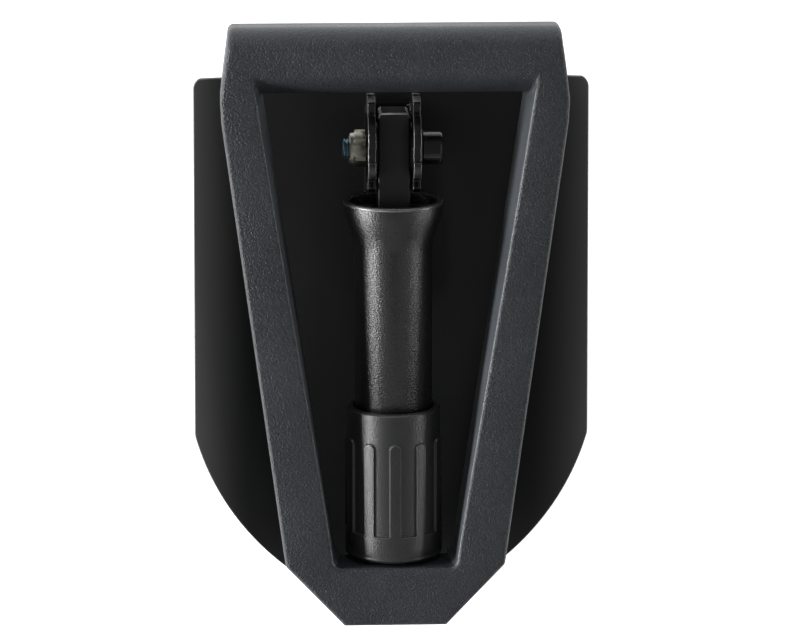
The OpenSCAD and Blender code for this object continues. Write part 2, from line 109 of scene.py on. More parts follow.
def lathe(name, profile, material, segs=96, axis="y", centre=(0, 0, 0), shape=None):
    """A closed profile of (radius, place along the axis) turned about that axis.
    shape(angle, radius, place) may change the radius."""
    bm = bmesh.new()
    rings = []
    for r, p in profile:
        ring = []
        for k in range(segs):
            a = 2 * math.pi * k / segs
            rr = shape(a, r, p) if shape else r
            u, v = rr * math.sin(a), rr * math.cos(a)
            at = (centre[0] + u, centre[1] + p, centre[2] + v) if axis == "y" else \
                (centre[0] + p, centre[1] + u, centre[2] + v)
            ring.append(bm.verts.new(mm(*at)))
        rings.append(ring)
    n = len(rings)
    for i in range(n):
        a, b = rings[i], rings[(i + 1) % n]
        for k in range(segs):
            j = (k + 1) % segs
            bm.faces.new((a[k], a[j], b[j], b[k]))
    bmesh.ops.dissolve_degenerate(bm, dist=1e-8, edges=bm.edges)
    return finish_mesh(name, bm, material)


def rounded(profile, r=0.4, steps=4):
    """A closed (x, y) profile with its corners rounded by r, which may be a list."""
    out = []
    n = len(profile)
    for i, p in enumerate(profile):
        a, b = profile[i - 1], profile[(i + 1) % n]
        va, vb = Vector((a[0] - p[0], a[1] - p[1])), Vector((b[0] - p[0], b[1] - p[1]))
        la, lb = va.length, vb.length
        rad = r[i] if isinstance(r, (list, tuple)) else r
        if rad <= 0 or la < 1e-6 or lb < 1e-6:
            out.append(tuple(p))
            continue
        va.normalize()
        vb.normalize()
        ang = va.angle(vb)
        if ang > math.radians(176):
            out.append(tuple(p))
            continue
        cut = min(rad / math.tan(ang / 2), la * 0.49, lb * 0.49)
        rr = cut * math.tan(ang / 2)
        mid = (va + vb).normalized() * (rr / math.sin(ang / 2))
        c = Vector(p) + mid
        s, e = Vector(p) + va * cut - c, Vector(p) + vb * cut - c
        a0 = math.atan2(s.y, s.x)
        turn = math.atan2(s.x * e.y - s.y * e.x, s.dot(e))
        for k in range(steps + 1):
            t = a0 + turn * k / steps
            out.append((c.x + rr * math.cos(t), c.y + rr * math.sin(t)))
    return out


def inward(loop, solid_inside=True):
    """Unit vectors at each point of a closed loop that point into the material."""
    area = sum(loop[i - 1][0] * p[1] - p[0] * loop[i - 1][1] for i, p in enumerate(loop))
    sign = (1 if area > 0 else -1) * (1 if solid_inside else -1)
    out = []
    n = len(loop)
    for i, p in enumerate(loop):
        a, b = Vector(loop[i - 1]), Vector(loop[(i + 1) % n])
        d1, d2 = (Vector(p) - a), (b - Vector(p))
        n1 = Vector((-d1.y, d1.x)).normalized() * sign
        n2 = Vector((-d2.y, d2.x)).normalized() * sign
        m = (n1 + n2)
        m = m / max(m.length, 1e-9)
        out.append(m / max(m.dot(n1), 0.5))
    return out


def slab(name, outline, holes, low, high, r_low, r_high, place, material, steps=4,
         bevel_holes=True):
    """A plate made from an outline with holes, its edges rounded by r_low and r_high.
    place(u, v, w) gives the point that stands at (u, v) of the outline and at height w."""
    bm = bmesh.new()
    ends = [[], []]
    for li, loop in enumerate([outline] + list(holes)):
        hole = li > 0
        nrm = inward(loop, not hole)
        sharp = hole and not bevel_holes
        rl, rh = (0, 0) if sharp else (r_low, r_high)
        rows = []

        def row(inset, height):
            rows.append([bm.verts.new(place(p[0] + v.x * inset, p[1] + v.y * inset, height))
                         for p, v in zip(loop, nrm)])

        turns = [math.pi / 2 * k / steps for k in range(steps + 1)]
        for a in turns if rl > 0 else [math.pi / 2]:
            row(rl * (1 - math.sin(a)), low + rl * (1 - math.cos(a)))
        for a in turns if rh > 0 else [0]:
            row(rh * (1 - math.cos(a)), high - rh + rh * math.sin(a))
        n = len(loop)
        for a, b in zip(rows, rows[1:]):
            for k in range(n):
                j = (k + 1) % n
                bm.faces.new((a[k], a[j], b[j], b[k]))
        for edges, ring in ((ends[0], rows[0]), (ends[1], rows[-1])):
            edges += [bm.edges.get((ring[k], ring[(k + 1) % n])) for k in range(n)]
    for edges in ends:
        bmesh.ops.triangle_fill(bm, edges=edges, use_beauty=True)
    return finish_mesh(name, bm, material)


def carve(obj, cutters):
    """Cuts the cutters out of the object and keeps the result as its own mesh."""
    group = bpy.data.collections.new(obj.name + "_cutters")
    bpy.context.scene.collection.children.link(group)
    for c in cutters:
        for old in list(c.users_collection):
            old.objects.unlink(c)
        group.objects.link(c)
    mod = obj.modifiers.new("carve", "BOOLEAN")
    mod.operation = "DIFFERENCE"
    mod.solver = "EXACT"
    mod.operand_type = "COLLECTION"
    mod.collection = group
    dg = bpy.context.evaluated_depsgraph_get()
    mesh = bpy.data.meshes.new_from_object(obj.evaluated_get(dg))
    obj.modifiers.clear()
    obj.data = mesh
    for c in cutters:
        bpy.data.objects.remove(c)
    bpy.data.collections.remove(group)
    bm = bmesh.new()
    bm.from_mesh(mesh)
    shade(bm)
    bm.to_mesh(mesh)
    bm.free()


def join(name, parts):
    """Several meshes as one object, kept with their own materials."""
    bm = bmesh.new()
    slots = []
    for p in parts:
        for m in p.data.materials:
            if m not in slots:
                slots.append(m)
    for p in parts:
        tmp = bmesh.new()
        tmp.from_mesh(p.data)
        index = [slots.index(m) for m in p.data.materials]
        for f in tmp.faces:
            f.material_index = index[f.material_index] if index else 0
        mesh = bpy.data.meshes.new("tmp")
        tmp.to_mesh(mesh)
        tmp.free()
        bm.from_mesh(mesh)
        bpy.data.meshes.remove(mesh)
    mesh = bpy.data.meshes.new(name)
    bm.to_mesh(mesh)
    bm.free()
    for m in slots:
        mesh.materials.append(m)
    obj = bpy.data.objects.new(name, mesh)
    bpy.context.scene.collection.objects.link(obj)
    for p in parts:
        bpy.data.objects.remove(p)
    return obj


# ---------------------------------------------------------------- materials


class Graph:
    """Small helper to build a node material."""

    def __init__(self, name):
        self.mat = bpy.data.materials.new(name)
        self.mat.use_nodes = True
        self.tree = self.mat.node_tree
        self.bsdf = self.tree.nodes["Principled BSDF"]

    def node(self, kind):
        return self.tree.nodes.new(kind)

    def link(self, a, b):
        self.tree.links.new(a, b)

    def noise(self, scale, detail=3.0, rough=0.5, stretch=None):
        coord = self.node("ShaderNodeTexCoord")
        source = coord.outputs["Object"]
        if stretch:
            mapping = self.node("ShaderNodeMapping")
            mapping.inputs["Scale"].default_value = stretch
            self.link(source, mapping.inputs["Vector"])
            source = mapping.outputs["Vector"]
        n = self.node("ShaderNodeTexNoise")
        n.inputs["Scale"].default_value = scale
        n.inputs["Detail"].default_value = detail
        n.inputs["Roughness"].default_value = rough
        self.link(source, n.inputs["Vector"])
        return n.outputs["Fac"]

    def grains(self, scale):
        coord = self.node("ShaderNodeTexCoord")
        n = self.node("ShaderNodeTexVoronoi")
        n.inputs["Scale"].default_value = scale
        self.link(coord.outputs["Object"], n.inputs["Vector"])
        return n.outputs["Distance"]

    def ramp(self, source, low, high, a, b):
        n = self.node("ShaderNodeMapRange")
        n.inputs["From Min"].default_value = low
        n.inputs["From Max"].default_value = high
        n.inputs["To Min"].default_value = a
        n.inputs["To Max"].default_value = b
        self.link(source, n.inputs["Value"])
        return n.outputs["Result"]

    def maths(self, op, a, b):
        n = self.node("ShaderNodeMath")
        n.operation = op
        for i, v in enumerate((a, b)):
            if isinstance(v, (int, float)):
                n.inputs[i].default_value = v
            else:
                self.link(v, n.inputs[i])
        return n.outputs[0]

    def mix(self, fac, a, b):
        n = self.node("ShaderNodeMix")
        n.data_type = "RGBA"
        self.link(fac, n.inputs["Factor"])
        for key, v in ((6, a), (7, b)):
            if isinstance(v, (tuple, list)):
                n.inputs[key].default_value = (*v, 1)
            else:
                self.link(v, n.inputs[key])
        return n.outputs[2]

    def edge(self, radius, low=0.02, high=0.25):
        """Near one at sharp edges and near zero on flats."""
        bevel = self.node("ShaderNodeBevel")
        bevel.samples = 4
        bevel.inputs["Radius"].default_value = radius
        geo = self.node("ShaderNodeNewGeometry")
        dot = self.node("ShaderNodeVectorMath")
        dot.operation = "DOT_PRODUCT"
        self.link(bevel.outputs["Normal"], dot.inputs[0])
        self.link(geo.outputs["Normal"], dot.inputs[1])
        return self.ramp(dot.outputs["Value"], 1 - low, 1 - high, 0.0, 1.0)

    def bump(self, parts):
        """Adds bumps: parts is a list of (height output, strength, distance in metres)."""
        last = None
        for height, strength, distance in parts:
            n = self.node("ShaderNodeBump")
            n.inputs["Strength"].default_value = strength
            n.inputs["Distance"].default_value = distance
            self.link(height, n.inputs["Height"])
            if last:
                self.link(last, n.inputs["Normal"])
            last = n.outputs["Normal"]
        self.link(last, self.bsdf.inputs["Normal"])

    def set(self, name, value):
        socket = self.bsdf.inputs[name]
        if isinstance(value, (int, float)):
            socket.default_value = value
        elif isinstance(value, (tuple, list)):
            socket.default_value = (*value, 1)
        else:
            self.link(value, socket)


def coated(name, dark, light, wear_and_sheen, rough, grain_mm, bump, metallic=0.0, spec=0.5, edge_mm=0.7,
           wear_and_sheen_mix=0.5, speck=0.0, rim=None):
    """Paint, powder coat or moulded plastic with a fine grain and paler edges, which are partly
    wear and partly a painted highlight. rim is two distances left and right of the middle,
    between which it grows paler as a painted sheen, and its last grey."""
    g = Graph(name)
    fine = g.noise(1000 / grain_mm, 2.0, 0.6)
    cloud = g.noise(22, 4.0, 0.55)
    grain = g.maths("ADD", g.maths("MULTIPLY", fine, 0.6), g.maths("MULTIPLY", cloud, 0.4))
    colour = g.mix(g.ramp(grain, 0.35, 0.65, 0.0, 1.0), dark, light)
    # Paler edges: partly wear, partly a painted highlight on the rounded edges.
    edge = g.maths("MULTIPLY", g.edge(edge_mm / 1000), wear_and_sheen_mix)
    edge = g.maths("MULTIPLY", edge, g.ramp(g.noise(160, 3.0), 0.3, 0.6, 0.65, 1.0))
    colour = g.mix(edge, colour, wear_and_sheen)
    if speck:
        dots = g.ramp(g.grains(1000 / (grain_mm * 3.2)), 0.10, 0.02, 0.0, speck)
        colour = g.mix(dots, colour, wear_and_sheen)
    # rim: a painted sheen that makes the outer sides paler.
    if rim:
        start, full, grey = rim
        place = g.node("ShaderNodeTexCoord")
        axes = g.node("ShaderNodeSeparateXYZ")
        g.link(place.outputs["Object"], axes.inputs[0])
        side = g.maths("ABSOLUTE", axes.outputs[0], 0.0)
        near = g.ramp(side, start, full, 0.0, 1.0)
        colour = g.mix(g.maths("POWER", near, 1.8), colour, (grey, grey, grey))
    g.set("Base Color", colour)
    g.set("Metallic", metallic)
    g.set("Specular IOR Level", spec)
    g.set("Roughness", g.ramp(g.maths("ADD", g.maths("MULTIPLY", fine, 0.5),
                                      g.maths("MULTIPLY", cloud, 0.5)),
                              0.3, 0.7, rough - 0.07, rough + 0.07))
    g.bump([(fine, bump, grain_mm / 1000), (cloud, bump * 0.25, 0.0006)])
    return g.mat


def metal(name, base, rough, stretch=(1, 1, 1), stain=None, bump=0.15):
    """Bare or plated metal with fine scratches."""
    g = Graph(name)
    lines = g.noise(900, 3.0, 0.6, stretch)
    cloud = g.noise(60, 4.0, 0.6)
    dark = tuple(c * 0.72 for c in base)
    colour = g.mix(g.ramp(cloud, 0.3, 0.7, 0.0, 1.0), dark, base)
    if stain:
        colour = g.mix(g.ramp(g.noise(130, 4.0, 0.6), 0.48, 0.62, 0.0, 0.7), colour, stain)
    g.set("Base Color", colour)
    g.set("Metallic", 1.0)
    g.set("Roughness", g.ramp(lines, 0.3, 0.7, rough - 0.08, rough + 0.1))
    g.bump([(lines, bump, 0.0002)])
    return g.mat


CAST = coated("handle_coat", (0.0070, 0.0086, 0.0110), (0.0200, 0.0238, 0.0285),
              (0.12, 0.128, 0.135), 0.43, 0.68, 0.75, spec=0.42, edge_mm=0.9, wear_and_sheen_mix=0.5,
              speck=0.25)
# A paler copy of the handle's coat for the window's inner walls: painted light on the walls that
# face the side lamps.
WALLS_PAINTED_LIGHT = coated("handle_wall_painted_light", (0.030, 0.034, 0.038), (0.052, 0.057, 0.063),
               (0.20, 0.208, 0.215), 0.38, 0.68, 0.5, spec=0.6, edge_mm=0.9, wear_and_sheen_mix=0.6)
# The blade's coat grows paler towards its outer sides, a painted sheen on the flanks.
BLADE = coated("blade_coat_painted_flank_sheen", (0.0030, 0.0032, 0.0032), (0.0048, 0.0051, 0.0051),
               (0.10, 0.10, 0.10), 0.36, 0.35, 0.08, spec=0.36, edge_mm=0.7, wear_and_sheen_mix=0.6,
               rim=(0.056, 0.0795, 0.10))
EARS = coated("bracket_coat", (0.0022, 0.0022, 0.0024), (0.0045, 0.0045, 0.0047),
              (0.38, 0.38, 0.38), 0.12, 0.5, 0.08, spec=0.5, edge_mm=0.45, wear_and_sheen_mix=0.6)
# A paler, glossier copy of the ears' coat for their bevels: a painted highlight.
PAINTED_EDGE_HIGHLIGHT = coated("bracket_edge_painted_highlight", (0.05, 0.05, 0.05), (0.10, 0.10, 0.10), (0.4, 0.4, 0.4),
               0.18, 0.5, 0.1, spec=1.0, edge_mm=0.4, wear_and_sheen_mix=0.5)
BORE = coated("bore_coat", (0.018, 0.018, 0.018), (0.03, 0.03, 0.03), (0.03, 0.03, 0.03),
              0.6, 0.5, 0.12, spec=0.3)
# A darker, matte copy of the bracket's coat: painted shade on the bracket's base, the ears' flat
# sides and the tongue's end face.
PAINTED_SHADE_BLACK = coated("bracket_painted_shade_coat", (0.0016, 0.0016, 0.0017), (0.003, 0.003, 0.0031),
              (0.02, 0.02, 0.02), 0.8, 0.5, 0.12, spec=0.05, edge_mm=0.4, wear_and_sheen_mix=0.1)
TUBE = coated("tube_coat", (0.0036, 0.0036, 0.0038), (0.0085, 0.0086, 0.0088),
              (0.05, 0.05, 0.05), 0.31, 0.7, 0.34, spec=0.6, edge_mm=0.6, wear_and_sheen_mix=0.2)
# The lip's rounded edges are painted near white: a painted highlight along the mouth's rim.
HIGHLIT_LIP = coated("lip_coat_painted_highlight", (0.0042, 0.0042, 0.0044), (0.0080, 0.0081, 0.0083),
             (0.80, 0.80, 0.80), 0.30, 0.7, 0.2, spec=0.9, edge_mm=0.8, wear_and_sheen_mix=1.0)
GRIP = coated("grip_plastic", (0.0105, 0.0108, 0.0115), (0.0195, 0.0200, 0.0208),
              (0.16, 0.16, 0.162), 0.36, 0.5, 0.34, spec=0.5, edge_mm=0.6, wear_and_sheen_mix=0.6)
HEADS = coated("black_oxide", (0.0025, 0.0025, 0.0028), (0.005, 0.005, 0.0054),
               (0.05, 0.05, 0.05), 0.22, 0.4, 0.10, spec=0.5, edge_mm=0.3, wear_and_sheen_mix=0.3)
BLOCK = coated("tongue_coat", (0.0028, 0.0030, 0.0030), (0.0052, 0.0055, 0.0055),
               (0.06, 0.06, 0.06), 0.36, 0.5, 0.14, spec=0.4, edge_mm=0.5, wear_and_sheen_mix=0.3)
DARK = coated("dark_washer", (0.002, 0.002, 0.002), (0.004, 0.004, 0.004), (0.02, 0.02, 0.02),
              0.5, 0.5, 0.12, spec=0.25)
SEAL = coated("seal_rubber", (0.012, 0.012, 0.012), (0.02, 0.02, 0.02), (0.03, 0.03, 0.03),
              0.7, 0.5, 0.15, spec=0.3)
# Pale bare steel, partly real wear and partly a painted highlight.
WORN_AND_HIGHLIT = coated("worn_steel_and_painted_highlight", (0.30, 0.30, 0.29), (0.55, 0.55, 0.54), (0.6, 0.6, 0.6),
              0.4, 0.9, 0.3, metallic=0.2, spec=0.8)
ZINC = metal("zinc_plate", (0.42, 0.42, 0.36), 0.42, stain=(0.08, 0.075, 0.05), bump=0.3)
BLUED = metal("zinc_thread", (0.20, 0.31, 0.38), 0.34)
STEEL = metal("bare_steel", (0.45, 0.46, 0.47), 0.32, stretch=(1, 0.08, 1))
BRONZE = metal("dark_bronze", (0.07, 0.055, 0.04), 0.42)
NYLON = coated("nylon", (0.42, 0.42, 0.38), (0.52, 0.52, 0.48), (0.6, 0.6, 0.58),
               0.5, 0.4, 0.1, spec=0.4)

# ---------------------------------------------------------------- handle frame
FACE = FRAME_HI[2]
BACK = FRAME_LO[2]
WIDE_END = FRAME_HI[1]
NARROW_END = FRAME_LO[1]
HALF_WIDE = FRAME_HI[0]
DEPTH = FACE - BACK
WINDOW_TOP = 23.0
WINDOW_LOW = -164.7
WINDOW_WIDE, WINDOW_NARROW = 51.2, 23.3
# The arms run from their shoulder beside the window's wide end to their narrow foot.
SHOULDER_X, SHOULDER_Y, SHOULDER_TOP = HALF_WIDE - 0.5, 13, 22
FOOT_X, FOOT_Y = 43.5, -164.5
NOSE_X = 20.2
WIDE_END_X = HALF_WIDE - 3.4
EDGE_FRONT_R, EDGE_BACK_R, WINDOW_FRONT_R = 1.6, 0.8, 1.5
# How far the window's sides lean outwards at its narrow end, and how much more at its wide end.
LEAN, LEAN_MORE, LEAN_RUN = 0.8, 1.7, 185
# The grip bar's outer side is rounded over the last part of the frame's length, and its inner
# side curves over from a height above the back.
BAR_FRONT_R, BAR_BACK_R, BAR_DEPTH = 9.0, 7.0, 12
BAR_CURVE, BAR_CURVE_FROM = 11.0, 8.0
# The back is open up to this height under the front skin.
FLOOR_Z = FACE - 4.2


def mirror_loop(points):
    return points + [(-x, y) for x, y in reversed(points)]


def dense(loop, step):
    """The same closed loop with points no further apart than step."""
    out = []
    for i, p in enumerate(loop):
        q = loop[(i + 1) % len(loop)]
        n = max(1, int(math.hypot(q[0] - p[0], q[1] - p[1]) / step))
        for k in range(n):
            out.append((p[0] + (q[0] - p[0]) * k / n, p[1] + (q[1] - p[1]) * k / n))
    return out


def smooth(t):
    t = min(1, max(0, t))
    return t * t * (3 - 2 * t)


def round_off(d, r):
    """How far a rounded edge of radius r has drawn in at a distance d before its end."""
    return r - math.sqrt(max(0, r * r - (r - d) ** 2)) if d < r else 0


LOOP_STEP = 6
outer = mirror_loop([(WIDE_END_X, WIDE_END), (HALF_WIDE, SHOULDER_TOP),
                     (SHOULDER_X, SHOULDER_Y), (FOOT_X, FOOT_Y), (NOSE_X, NARROW_END)])
corner_r = [2.6, 9, 20, 3.0, 1.2]
outer = dense(rounded(outer, corner_r + corner_r[::-1], 6), LOOP_STEP)
window = mirror_loop([(WINDOW_WIDE, WINDOW_TOP), (WINDOW_NARROW, WINDOW_LOW)])
window = dense(rounded(window, [2.2, 3.5, 3.5, 2.2], 8), LOOP_STEP)

# Heights of the frame's rings above its back, closer together where its edges turn.
RINGS = [0, 0.05, 0.2, 0.45, 0.8, 1.6, 2.8, 4.5, 7, 9, 12, 14.5, 16, 17.5, 19, 20.5, 21.8, 23,
         23.7, 24.2, 24.6, 24.85, 24.96, DEPTH]


def outer_shift(p, nrm, h):
    """The arms' outer edges are rounded; the grip bar's whole outer side is curved."""
    side = round_off(h, EDGE_BACK_R) + round_off(DEPTH - h, EDGE_FRONT_R)
    bar = round_off(h, BAR_BACK_R) + round_off(DEPTH - h, BAR_FRONT_R)
    share = min(1, max(0, (p[1] - WIDE_END + BAR_DEPTH) / BAR_DEPTH))
    foot = side if p[1] < -100 else 0
    return nrm.x * side, nrm.y * foot - share * bar


def window_shift(p, nrm, h):
    """The window's sides lean outwards, and the grip bar's inner side curves over."""
    x, y = p
    bar = smooth((y - (WINDOW_TOP - 2.4)) / 1.4)
    lean = LEAN + LEAN_MORE * smooth((y - WINDOW_LOW) / LEAN_RUN)
    side = lean * h / DEPTH + round_off(DEPTH - h, WINDOW_FRONT_R) + round_off(h, EDGE_BACK_R)
    over = (h - BAR_CURVE_FROM) / (DEPTH - BAR_CURVE_FROM)
    curve = BAR_CURVE * (1 - math.sqrt(max(0, 1 - over * over))) if over > 0 else 0
    dx = side + LEAN_MORE * bar * h / DEPTH
    foot = 1 if y < WINDOW_LOW + 3.5 else 0
    dy = bar * (curve + round_off(h, EDGE_BACK_R)) - foot * side
    return math.copysign(dx, x) * min(1, abs(x) / 20), dy


def frame_shell():
    """The casting before its back is opened: an outline and a window, ring above ring."""
    bm = bmesh.new()
    ends = [[], []]
    for loop, shift in ((outer, outer_shift), (window, window_shift)):
        rings = []
        for h in RINGS:
            ring = []
            for p, nrm in zip(loop, inward(loop)):
                dx, dy = shift(p, nrm, h)
                ring.append(bm.verts.new(mm(p[0] + dx, p[1] + dy, BACK + h)))
            rings.append(ring)
        n = len(loop)
        for a, b in zip(rings, rings[1:]):
            for k in range(n):
                j = (k + 1) % n
                bm.faces.new((a[k], a[j], b[j], b[k]))
        for edges, ring in ((ends[0], rings[0]), (ends[1], rings[-1])):
            edges += [bm.edges.get((ring[k], ring[(k + 1) % n])) for k in range(n)]
    for edges in ends:
        bmesh.ops.triangle_fill(bm, edges=edges, use_beauty=True)
    return finish_mesh("handle_frame_casting", bm, CAST, 30)


frame_body = frame_shell()
cutters = []


def cut(points, high, r=2.0):
    """Notes a pocket to be cut from below the back up to a height."""
    cutters.append(slab("cut", rounded(points, r, 4), [], BACK - 1, high, 0, 0, mm, CAST))


def block(x0, x1, y0, y1):
    return [(x0, y0), (x1, y0), (x1, y1), (x0, y1)]


WALL = 3.4
RIB = 2.2
ARM_RIB_STEP, BAR_RIB_STEP = 24, 17
LOWEST_CELL, FIRST_RIB = -150, -128


def arm_x(y, outside):
    """Half width of a pocket in the arms, at the outer or at the window's side."""
    if outside:
        return FOOT_X + (SHOULDER_X - FOOT_X) * (y - FOOT_Y) / (SHOULDER_Y - FOOT_Y) - WALL
    wide = (WINDOW_WIDE + 1.0 - WINDOW_NARROW) / (WINDOW_TOP - WINDOW_LOW)
    return WINDOW_NARROW + wide * (y - WINDOW_LOW) + WALL


cells = [LOWEST_CELL] + [FIRST_RIB + ARM_RIB_STEP * i for i in range(7)]
for i, (start, high) in enumerate(zip(cells, cells[1:])):
    low = start + (RIB if i else 0)
    for s in (-1, 1):
        cut([(s * arm_x(low, False), low), (s * arm_x(low, True), low),
             (s * arm_x(high, True), high), (s * arm_x(high, False), high)], FLOOR_Z)
BAR_LOW, BAR_HIGH = 34.0, WIDE_END - 9
BAR_HALF = 66.2
BAR_END = BAR_HALF - WALL - 0.6
edges = [-BAR_END]
for i in range(-3, 4):
    edges += [i * BAR_RIB_STEP - RIB / 2, i * BAR_RIB_STEP + RIB / 2]
edges.append(BAR_END)
for a, b in zip(edges[0::2], edges[1::2]):
    cut(block(a, b, BAR_LOW, BAR_HIGH), FLOOR_Z, 1.6)
# The slot for the shaft, the hollow above the pivot lugs and a pocket beside each lug.
SLOT_HALF, SLOT_HIGH = 9.8, 12
HOLLOW_HALF, HOLLOW_HIGH, HOLLOW_TOP = 21.5, 1, PIVOT_Y + 18
LUG_IN, LUG_OUT, LUG_HIGH = 16, 21.4, 11
PIN_R, PIN_HALF = 4.0, 17
cut(block(-SLOT_HALF, SLOT_HALF, NARROW_END - 2, HOLLOW_TOP), SLOT_HIGH, 0.01)
cut(block(-HOLLOW_HALF, HOLLOW_HALF, PIVOT_Y + 11, HOLLOW_TOP), HOLLOW_HIGH, 0.01)
for s in (-1, 1):
    cut(block(s * LUG_IN, s * LUG_OUT, PIVOT_Y - 6, PIVOT_Y + 8), LUG_HIGH, 1.0)
bore = lathe("cut_bore", [(0.01, -PIN_HALF), (PIN_R, -PIN_HALF), (PIN_R, PIN_HALF),
                          (0.01, PIN_HALF)], CAST, 48, "x", (0, PIVOT_Y, 0))
cutters.append(bore)
carve(frame_body, cutters)
# The window's walls take a smoother, paler copy of the grained front's coat; the paleness is painted
# light where the side lamps fall on them.
frame_body.data.materials.append(WALLS_PAINTED_LIGHT)
WALL_PAINTED_LIGHT_SLOT = len(frame_body.data.materials) - 1
for f in frame_body.data.polygons:
    x = f.center.x * 1000
    y = (f.center.y - HINGE.y) * 1000
    inside = WINDOW_LOW < y < WINDOW_TOP + 4 and abs(x) < arm_x(y, False) - 0.2
    if inside and abs(f.normal.z) < 0.8 and f.normal.x * x < 0 and abs(f.normal.x) > 0.4:
        f.material_index = WALL_PAINTED_LIGHT_SLOT
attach(frame_body, "handle")
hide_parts("handle_frame")

# ---------------------------------------------------------------- blade
DISH = 351.0
SHEET = 2.0
BLADE_TOP = BLADE_HI[1]
BLADE_TIP = BLADE_LO[1] + 0.06
BED = BLADE_LO[2]
HALF_TOP = 78.3
HALF_MAX = BLADE_HI[0]
# Each side of the point is an arc about a centre on the other side of the middle.
POINT_R = 110.2
POINT_CY = -92.3
POINT_CX = 27.4
POINT_FROM = -110
CORNER = 4.0
SHEET_EDGE = 0.35
# The sides spread over this length below the hinge end, down to the widest place.
SPREAD = 145


def blade_half(y):
    """Half width of the blade at a distance y from the hinge bolt."""
    side = HALF_TOP + (HALF_MAX - HALF_TOP) * min(1, (BLADE_TOP - y) / SPREAD)
    if y > BLADE_TOP - CORNER:
        d = y - (BLADE_TOP - CORNER)
        side -= CORNER - math.sqrt(max(0, CORNER ** 2 - d ** 2))
    if y < POINT_FROM:
        d = POINT_R ** 2 - (y - POINT_CY) ** 2
        side = min(side, math.sqrt(max(0, d)) - POINT_CX)
    return max(side, 0.02)


def blade_z(x, inner):
    """Height of the dish at a distance x from its middle, on its hollow or its outer face."""
    r = DISH if inner else DISH + SHEET
    return BED + DISH + SHEET - math.sqrt(r * r - x * x)


def blade_mesh():
    """The dished sheet as two grids, joined by a rounded edge."""
    bm = bmesh.new()
    ys = [BLADE_TOP - CORNER * (1 - math.cos(math.radians(a))) for a in range(0, 91, 10)]
    y = ys[-1]
    while y > POINT_FROM:
        y -= 6
        ys.append(y)
    while y > BLADE_TIP + 12:
        y -= 1.6
        ys.append(y)
    left = y - BLADE_TIP
    ys += [y - left * (1 - (1 - k / 12) ** 2) for k in range(1, 13)]
    cols = 64
    skins = []
    for inner in (True, False):
        grid = []
        for yy in ys:
            h = blade_half(yy)
            rowv = []
            for j in range(cols + 1):
                t = 2 * j / cols - 1
                x = max(h - SHEET_EDGE, 0.01) * t
                yq = min(yy, BLADE_TOP - SHEET_EDGE) if yy > 0 else max(yy, BLADE_TIP + 0.3)
                rowv.append(bm.verts.new(mm(x, yq, blade_z(x, inner))))
            grid.append(rowv)
        skins.append(grid)
        for a, b in zip(grid, grid[1:]):
            for j in range(cols):
                bm.faces.new((a[j], a[j + 1], b[j + 1], b[j]))

    def rim(grid):
        return ([r[0] for r in grid] + grid[-1][1:] + [r[-1] for r in reversed(grid[:-1])]
                + list(reversed(grid[0][1:-1])))

    top, low = rim(skins[0]), rim(skins[1])
    # The edge is rounded by two middle rings, which stand out to the true outline.
    mids = []
    for a, b in zip(top, low):
        m = (a.co + b.co) / 2
        c = Vector((m.x * 1000, (m.y - HINGE.y) * 1000, 0))
        out = Vector((math.copysign(1, c.x), 0, 0))
        if c.y > BLADE_TOP - CORNER:
            e = Vector((abs(c.x) - (HALF_TOP - CORNER), c.y - (BLADE_TOP - CORNER), 0))
            out = Vector((0, 1, 0)) if e.x <= 0 else e.normalized()
            out.x *= math.copysign(1, c.x)
        elif c.y < -118:
            e = Vector((abs(c.x) + POINT_CX, c.y - POINT_CY, 0)).normalized()
            out = Vector((e.x * math.copysign(1, c.x), e.y, 0))
        ring = []
        for f in (0.18, 0.82):
            p = a.co.lerp(b.co, f) + out * (SHEET_EDGE / 1000)
            ring.append(bm.verts.new(p))
        mids.append(ring)
    n = len(top)
    for i in range(n):
        j = (i + 1) % n
        bm.faces.new((top[i], top[j], mids[j][0], mids[i][0]))
        bm.faces.new((mids[i][0], mids[j][0], mids[j][1], mids[i][1]))
        bm.faces.new((mids[i][1], mids[j][1], low[j], low[i]))
    return finish_mesh("blade_sheet", bm, BLADE, 50)


blade = blade_mesh()
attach(blade, "blade")
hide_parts("blade_plate")

# ---------------------------------------------------------------- hinge bracket
EAR_IN, EAR_OUT = 7.3, 10.4
EAR_R, LAND_R = 17.4, 21.5
LAND_FROM = 61.0
NOTCH_W, NOTCH_FLOOR = 5.8, 13.6
NECK, NECK_LOW = 11.0, -21.5
BASE_T = 3.0
BASE_FRONT = 14.0
TANG_HALF = 14.5


def polar(r, deg):
    return (r * math.sin(math.radians(deg)), r * math.cos(math.radians(deg)))


